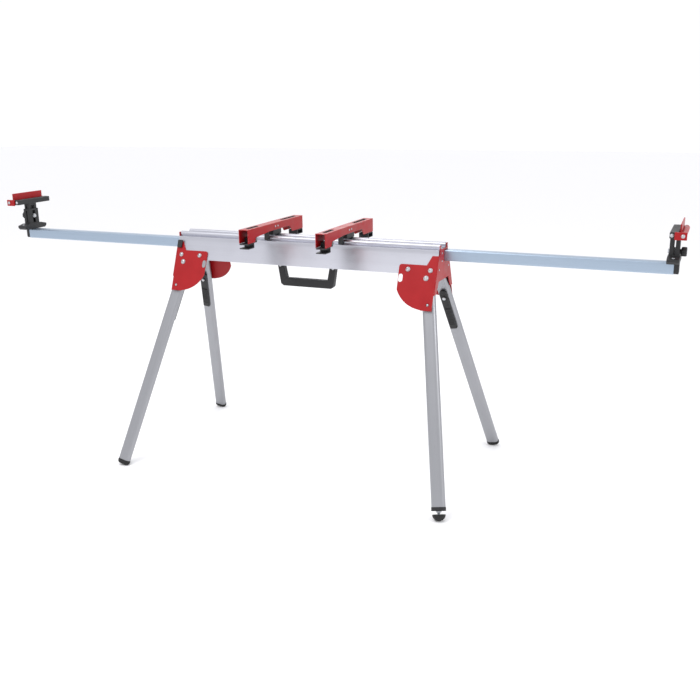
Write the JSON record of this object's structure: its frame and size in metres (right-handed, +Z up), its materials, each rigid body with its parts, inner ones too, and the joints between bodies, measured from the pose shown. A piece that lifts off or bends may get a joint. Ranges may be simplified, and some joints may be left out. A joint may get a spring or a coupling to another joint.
{
  "type": "folding mitre saw stand",
  "caption": "Folding tool stand: trapezoid aluminium beam on splayed locking legs, sliding extension rails with work supports, and clamp-on channels that carry a mitre saw.",
  "frame": {"origin": "on the floor, under the middle of the beam", "axes": "+X along the beam towards the end with the levelling foot at the front, -Y the working side, +Z up"},
  "size_m": [2.6072, 0.7457, 0.985],
  "materials": {
    "aluminium": "mill-finish anodised extrusion, fine lengthwise lines",
    "red_powder_coat": "semi-gloss powder coat on pressed steel",
    "black_plastic": "fine moulded texture, glass-filled nylon",
    "rubber": "matte moulded rubber",
    "bright_steel": "bright zinc-plated turned steel",
    "zinc_steel": "bluish zinc plate on a rolled steel tube"
  },
  "bodies": {
    "frame": {"beam": "aluminium", "handle": "black_plastic", "front_plate_left": "red_powder_coat", "leg_pivot_front_left": "bright_steel", "rear_plate_left": "red_powder_coat", "leg_pivot_rear_left": "bright_steel", "end_plate_left": "red_powder_coat", "rail_guide_left": "black_plastic", "front_plate_right": "red_powder_coat", "leg_pivot_front_right": "bright_steel", "rear_plate_right": "red_powder_coat", "leg_pivot_rear_right": "bright_steel", "end_plate_right": "red_powder_coat", "rail_guide_right": "black_plastic"},
    "leg_front_left": {"leg_front_left": "aluminium", "foot_front_left": "rubber"},
    "release_lever_front_left": {"release_lever_front_left": "black_plastic"},
    "lock_pin_front_left": {"lock_pin_front_left": "bright_steel"},
    "leg_rear_left": {"leg_rear_left": "aluminium", "foot_rear_left": "rubber"},
    "release_lever_rear_left": {"release_lever_rear_left": "black_plastic"},
    "lock_pin_rear_left": {"lock_pin_rear_left": "bright_steel"},
    "rail_lock_left": {"rail_lock_left": "black_plastic"},
    "rail_left": {"extension_rail_left": "zinc_steel", "rail_cap_left": "black_plastic", "support_column_left": "black_plastic"},
    "support_head_left": {"support_head_left": "black_plastic"},
    "height_knob_left": {"height_knob_left": "black_plastic"},
    "flip_stop_left": {"flip_stop_left": "red_powder_coat"},
    "saw_bracket_left": {"saw_bracket_left": "red_powder_coat", "bracket_saddle_left": "black_plastic", "bracket_pad_left": "black_plastic", "clamp_pin_left": "bright_steel"},
    "clamp_lever_left": {"clamp_lever_left": "black_plastic"},
    "clamp_jaw_left": {"clamp_jaw_left": "black_plastic"},
    "leg_front_right": {"leg_front_right": "aluminium", "levelling_plug": "black_plastic"},
    "levelling_foot": {"levelling_stud": "bright_steel", "levelling_pad": "rubber"},
    "release_lever_front_right": {"release_lever_front_right": "black_plastic"},
    "lock_pin_front_right": {"lock_pin_front_right": "bright_steel"},
    "leg_rear_right": {"leg_rear_right": "aluminium", "foot_rear_right": "rubber"},
    "release_lever_rear_right": {"release_lever_rear_right": "black_plastic"},
    "lock_pin_rear_right": {"lock_pin_rear_right": "bright_steel"},
    "rail_lock_right": {"rail_lock_right": "black_plastic"},
    "rail_right": {"extension_rail_right": "zinc_steel", "rail_cap_right": "black_plastic", "support_column_right": "black_plastic"},
    "support_head_right": {"support_head_right": "black_plastic"},
    "height_knob_right": {"height_knob_right": "black_plastic"},
    "flip_stop_right": {"flip_stop_right": "red_powder_coat"},
    "saw_bracket_right": {"saw_bracket_right": "red_powder_coat", "bracket_saddle_right": "black_plastic", "bracket_pad_right": "black_plastic", "clamp_pin_right": "bright_steel"},
    "clamp_lever_right": {"clamp_lever_right": "black_plastic"},
    "clamp_jaw_right": {"clamp_jaw_right": "black_plastic"}
  },
  "joints": [
    {"name": "leg_fold_front_left", "type": "hinge", "parent": "frame", "child": "leg_front_left", "pos_m": [-0.4875, -0.06151, 0.7418], "axis": [0, -0.9272, 0.3746], "range_deg": [0, 102.8]},
    {"name": "release_lever_front_left", "type": "hinge", "parent": "leg_front_left", "child": "release_lever_front_left", "pos_m": [-0.49914, -0.06785, 0.67593], "axis": [0.9836, -0.0676, -0.1674], "range_deg": [0, 6.9], "stiffness_Nm_per_rad": 0.6, "springref_deg": -8.59},
    {"name": "lock_pin_front_left", "type": "slide", "parent": "leg_front_left", "child": "lock_pin_front_left", "axis": [0, 0.9272, -0.3746], "range_m": [0, 0.0034]},
    {"name": "leg_fold_rear_left", "type": "hinge", "parent": "frame", "child": "leg_rear_left", "pos_m": [-0.4875, 0.06151, 0.7418], "axis": [0, -0.9272, -0.3746], "range_deg": [0, 102.8]},
    {"name": "release_lever_rear_left", "type": "hinge", "parent": "leg_rear_left", "child": "release_lever_rear_left", "pos_m": [-0.49914, 0.06785, 0.67593], "axis": [-0.9836, -0.0676, 0.1674], "range_deg": [0, 6.9], "stiffness_Nm_per_rad": 0.6, "springref_deg": -8.59},
    {"name": "lock_pin_rear_left", "type": "slide", "parent": "leg_rear_left", "child": "lock_pin_rear_left", "axis": [0, -0.9272, -0.3746], "range_m": [0, 0.0034]},
    {"name": "rail_lock_left", "type": "hinge", "parent": "frame", "child": "rail_lock_left", "pos_m": [-0.5105, -0.06246, 0.81552], "axis": [0, 0.9272, -0.3746], "range_deg": [0, 90]},
    {"name": "rail_slide_left", "type": "slide", "parent": "frame", "child": "rail_left", "axis": [1, 0, 0], "range_m": [0, 0.67]},
    {"name": "support_height_left", "type": "slide", "parent": "rail_left", "child": "support_head_left", "axis": [0, 0, 1], "range_m": [-0.0195, 0.0135]},
    {"name": "height_knob_turn_left", "type": "hinge", "parent": "support_head_left", "child": "height_knob_left", "pos_m": [-1.2675, -0.022, 0.8895], "axis": [-1, 0, 0], "continuous": true},
    {"name": "flip_stop_left", "type": "hinge", "parent": "support_head_left", "child": "flip_stop_left", "pos_m": [-1.292, -0.0125, 0.95], "axis": [0, -1, 0], "range_deg": [0, 90]},
    {"name": "bracket_slide_left", "type": "slide", "parent": "frame", "child": "saw_bracket_left", "axis": [1, 0, 0], "range_m": [-0.34, 0.12]},
    {"name": "clamp_lever_left", "type": "hinge", "parent": "saw_bracket_left", "child": "clamp_lever_left", "pos_m": [-0.141, -0.155, 0.8655], "axis": [1, 0, 0], "range_deg": [0, 35]},
    {"name": "clamp_jaw_left", "type": "slide", "parent": "saw_bracket_left", "child": "clamp_jaw_left", "axis": [0, -1, 0], "range_m": [0, 0.0016]},
    {"name": "leg_fold_front_right", "type": "hinge", "parent": "frame", "child": "leg_front_right", "pos_m": [0.4875, -0.06151, 0.7418], "axis": [0, 0.9272, -0.3746], "range_deg": [0, 94.8]},
    {"name": "release_lever_front_right", "type": "hinge", "parent": "leg_front_right", "child": "release_lever_front_right", "pos_m": [0.49914, -0.06785, 0.67593], "axis": [0.9836, 0.0676, 0.1674], "range_deg": [0, 6.9], "stiffness_Nm_per_rad": 0.6, "springref_deg": -8.59},
    {"name": "lock_pin_front_right", "type": "slide", "parent": "leg_front_right", "child": "lock_pin_front_right", "axis": [0, 0.9272, -0.3746], "range_m": [0, 0.0034]},
    {"name": "levelling_foot_screw", "type": "slide", "parent": "leg_front_right", "child": "levelling_foot", "axis": [0.1805, -0.3685, -0.912], "range_m": [0, 0.015]},
    {"name": "leg_fold_rear_right", "type": "hinge", "parent": "frame", "child": "leg_rear_right", "pos_m": [0.4875, 0.06151, 0.7418], "axis": [0, 0.9272, 0.3746], "range_deg": [0, 94.8]},
    {"name": "release_lever_rear_right", "type": "hinge", "parent": "leg_rear_right", "child": "release_lever_rear_right", "pos_m": [0.49914, 0.06785, 0.67593], "axis": [-0.9836, 0.0676, -0.1674], "range_deg": [0, 6.9], "stiffness_Nm_per_rad": 0.6, "springref_deg": -8.59},
    {"name": "lock_pin_rear_right", "type": "slide", "parent": "leg_rear_right", "child": "lock_pin_rear_right", "axis": [0, -0.9272, -0.3746], "range_m": [0, 0.0034]},
    {"name": "rail_lock_right", "type": "hinge", "parent": "frame", "child": "rail_lock_right", "pos_m": [0.5105, 0.06246, 0.81552], "axis": [0, -0.9272, -0.3746], "range_deg": [0, 90]},
    {"name": "rail_slide_right", "type": "slide", "parent": "frame", "child": "rail_right", "axis": [-1, 0, 0], "range_m": [0, 0.67]},
    {"name": "support_height_right", "type": "slide", "parent": "rail_right", "child": "support_head_right", "axis": [0, 0, 1], "range_m": [0, 0.033]},
    {"name": "height_knob_turn_right", "type": "hinge", "parent": "support_head_right", "child": "height_knob_right", "pos_m": [1.2675, 0.022, 0.8695], "axis": [1, 0, 0], "continuous": true},
    {"name": "flip_stop_right", "type": "hinge", "parent": "support_head_right", "child": "flip_stop_right", "pos_m": [1.292, 0.0315, 0.93], "axis": [0, 1, 0], "range_deg": [0, 90]},
    {"name": "bracket_slide_right", "type": "slide", "parent": "frame", "child": "saw_bracket_right", "axis": [1, 0, 0], "range_m": [-0.12, 0.33]},
    {"name": "clamp_lever_right", "type": "hinge", "parent": "saw_bracket_right", "child": "clamp_lever_right", "pos_m": [0.156, -0.155, 0.8655], "axis": [1, 0, 0], "range_deg": [0, 35]},
    {"name": "clamp_jaw_right", "type": "slide", "parent": "saw_bracket_right", "child": "clamp_jaw_right", "axis": [0, -1, 0], "range_m": [0, 0.0016]}
  ],
  "couplings": [
    {"joint": "lock_pin_front_left", "follows": "release_lever_front_left", "m_per_rad": 0.028},
    {"joint": "lock_pin_rear_left", "follows": "release_lever_rear_left", "m_per_rad": 0.028},
    {"joint": "clamp_jaw_left", "follows": "clamp_lever_left", "m_per_rad": 0.0025},
    {"joint": "lock_pin_front_right", "follows": "release_lever_front_right", "m_per_rad": 0.028},
    {"joint": "lock_pin_rear_right", "follows": "release_lever_rear_right", "m_per_rad": 0.028},
    {"joint": "clamp_jaw_right", "follows": "clamp_lever_right", "m_per_rad": 0.0025}
  ]
}
